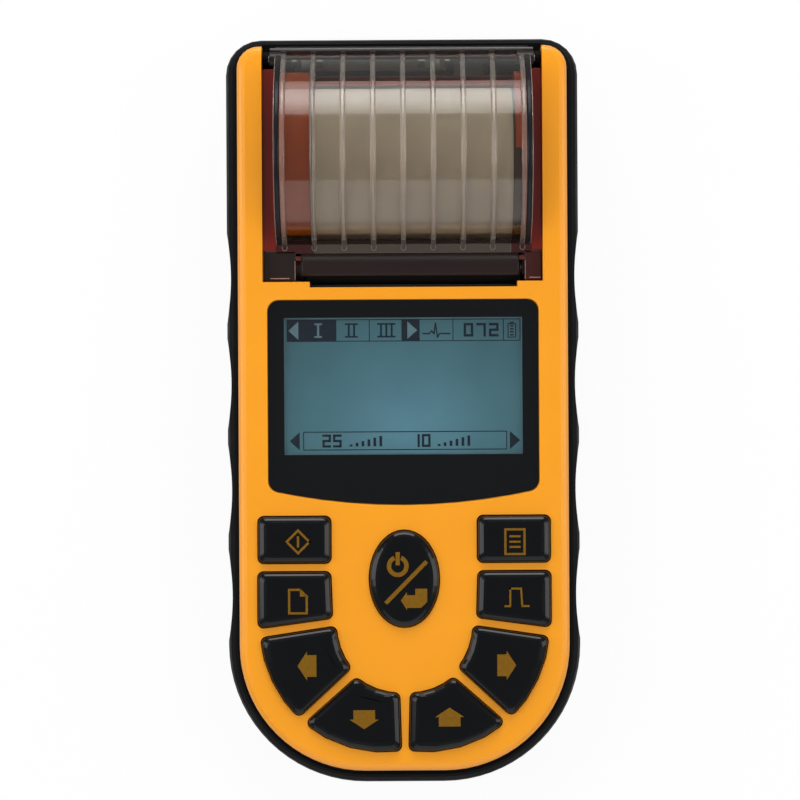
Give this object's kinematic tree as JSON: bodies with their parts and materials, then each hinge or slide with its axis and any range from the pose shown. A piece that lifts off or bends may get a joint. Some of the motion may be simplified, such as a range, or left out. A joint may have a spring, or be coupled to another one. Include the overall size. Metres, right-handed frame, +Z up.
{
  "type": "handheld ecg recorder",
  "caption": "Handheld ECG recorder with a hinged clear paper door, thermal printer, screen, oval power key and a ring of keys.",
  "frame": {"origin": "under the middle of the case, on the surface that the feet stand on", "axes": "+X to the user's right, +Y towards the paper door and printer end, +Z up out of the front face"},
  "size_m": [0.09, 0.19, 0.0463],
  "materials": {
    "black_shell": "fine satin grain",
    "orange_cover": "fine satin",
    "rubber": "matt",
    "screw_steel": "plated",
    "window": "polished",
    "black_print": "printed film",
    "lcd": "polarised film",
    "black_metal": "blackened",
    "white_plastic": "milky",
    "board_green": "solder mask",
    "chip_black": "moulded",
    "bright_metal": "tin plated",
    "silicone": "matt",
    "cell_wrap": "shrink wrap",
    "contact_brass": "gold plated",
    "insert_blue": "moulded",
    "orange_tray": "satin",
    "frame_black": "powder coated",
    "ceramic": "glazed",
    "aluminium": "milled",
    "spring_steel": "rolled",
    "ribbon": "film",
    "motor_can": "drawn can",
    "paper": "thermal coated",
    "clear_brown": "polished",
    "bush_brass": "sintered",
    "gear_black": "acetal",
    "cardboard": "wound card",
    "key_black": "polished"
  },
  "bodies": {
    "case": {"rear_cover": "black_shell", "front_cover": "orange_cover", "battery_cover": "black_shell", "rubber_feet": "rubber", "case_screws": "screw_steel", "battery_cover_screws": "screw_steel", "display_lens": "window", "lens_mask": "black_print", "lcd_panel": "lcd", "lcd_bezel": "black_metal", "lcd_backlight": "white_plastic", "lcd_board": "board_green", "main_board": "board_green", "board_chips": "chip_black", "shield_can": "bright_metal", "buzzer": "chip_black", "board_screws": "screw_steel", "keypad_mat": "silicone", "battery_cells": "cell_wrap", "battery_contacts": "contact_brass", "port_board": "board_green", "lead_socket_shell": "bright_metal", "lead_socket_insert": "insert_blue", "lead_socket_posts": "bright_metal", "usb_socket": "bright_metal", "power_jack": "chip_black", "paper_tray": "orange_tray", "tray_screws": "screw_steel", "printer_frame": "frame_black", "frame_screws": "screw_steel", "thermal_head": "ceramic", "head_heatsink": "aluminium", "head_spring": "spring_steel", "head_ribbon": "ribbon", "stepper_motor": "motor_can", "idler_axle": "screw_steel", "paper_web": "paper", "hinge_pins": "screw_steel"},
    "door": {"paper_door": "clear_brown", "platen_bushes": "gear_black"},
    "platen": {"platen_rubber": "rubber", "platen_shaft": "screw_steel", "platen_gear": "gear_black"},
    "idler": {"idler_gear": "gear_black"},
    "motor_rotor": {"motor_shaft": "screw_steel", "motor_pinion": "bush_brass"},
    "roll": {"paper_roll": "paper", "paper_core": "cardboard"},
    "key_start_body": {"key_start": "key_black"},
    "key_mode_body": {"key_mode": "key_black"},
    "key_left_body": {"key_left": "key_black"},
    "key_down_body": {"key_down": "key_black"},
    "key_up_body": {"key_up": "key_black"},
    "key_right_body": {"key_right": "key_black"},
    "key_calibrate_body": {"key_calibrate": "key_black"},
    "key_report_body": {"key_report": "key_black"},
    "key_power_body": {"key_power": "key_black"}
  },
  "joints": [
    {"name": "door_hinge", "type": "hinge", "parent": "case", "child": "door", "pos_m": [0, 0.089, 0.0295], "axis": [-1, 0, 0], "range_deg": [0, 95], "deforming": ["paper_web"]},
    {"name": "roll_spin", "type": "hinge", "parent": "case", "child": "roll", "pos_m": [0, 0.063, 0.0232], "axis": [-1, 0, 0], "continuous": true},
    {"name": "platen_spin", "type": "hinge", "parent": "door", "child": "platen", "pos_m": [0, 0.0364, 0.0252], "axis": [-1, 0, 0], "continuous": true},
    {"name": "idler_spin", "type": "hinge", "parent": "case", "child": "idler", "pos_m": [0, 0.03713, 0.01623], "axis": [-1, 0, 0], "continuous": true},
    {"name": "motor_spin", "type": "hinge", "parent": "case", "child": "motor_rotor", "pos_m": [0, 0.03313, 0.0093], "axis": [-1, 0, 0], "continuous": true},
    {"name": "key_start_press", "type": "slide", "parent": "case", "child": "key_start_body", "axis": [0, 0, -1], "range_m": [0, 0.0009], "stiffness_N_per_m": 300, "springref_m": -0.0003, "deforming": ["keypad_mat"]},
    {"name": "key_mode_press", "type": "slide", "parent": "case", "child": "key_mode_body", "axis": [0, 0, -1], "range_m": [0, 0.0009], "stiffness_N_per_m": 300, "springref_m": -0.0003, "deforming": ["keypad_mat"]},
    {"name": "key_left_press", "type": "slide", "parent": "case", "child": "key_left_body", "axis": [0, 0, -1], "range_m": [0, 0.0009], "stiffness_N_per_m": 300, "springref_m": -0.0003, "deforming": ["keypad_mat"]},
    {"name": "key_down_press", "type": "slide", "parent": "case", "child": "key_down_body", "axis": [0, 0, -1], "range_m": [0, 0.0009], "stiffness_N_per_m": 300, "springref_m": -0.0003, "deforming": ["keypad_mat"]},
    {"name": "key_up_press", "type": "slide", "parent": "case", "child": "key_up_body", "axis": [0, 0, -1], "range_m": [0, 0.0009], "stiffness_N_per_m": 300, "springref_m": -0.0003, "deforming": ["keypad_mat"]},
    {"name": "key_right_press", "type": "slide", "parent": "case", "child": "key_right_body", "axis": [0, 0, -1], "range_m": [0, 0.0009], "stiffness_N_per_m": 300, "springref_m": -0.0003, "deforming": ["keypad_mat"]},
    {"name": "key_calibrate_press", "type": "slide", "parent": "case", "child": "key_calibrate_body", "axis": [0, 0, -1], "range_m": [0, 0.0009], "stiffness_N_per_m": 300, "springref_m": -0.0003, "deforming": ["keypad_mat"]},
    {"name": "key_report_press", "type": "slide", "parent": "case", "child": "key_report_body", "axis": [0, 0, -1], "range_m": [0, 0.0009], "stiffness_N_per_m": 300, "springref_m": -0.0003, "deforming": ["keypad_mat"]},
    {"name": "key_power_press", "type": "slide", "parent": "case", "child": "key_power_body", "axis": [0, 0, -1], "range_m": [0, 0.0009], "stiffness_N_per_m": 300, "springref_m": -0.0003, "deforming": ["keypad_mat"]}
  ],
  "couplings": [
    {"joint": "platen_spin", "follows": "roll_spin", "ratio": 4.5238},
    {"joint": "idler_spin", "follows": "roll_spin", "ratio": -3.6191},
    {"joint": "motor_spin", "follows": "roll_spin", "ratio": 6.0317}
  ]
}
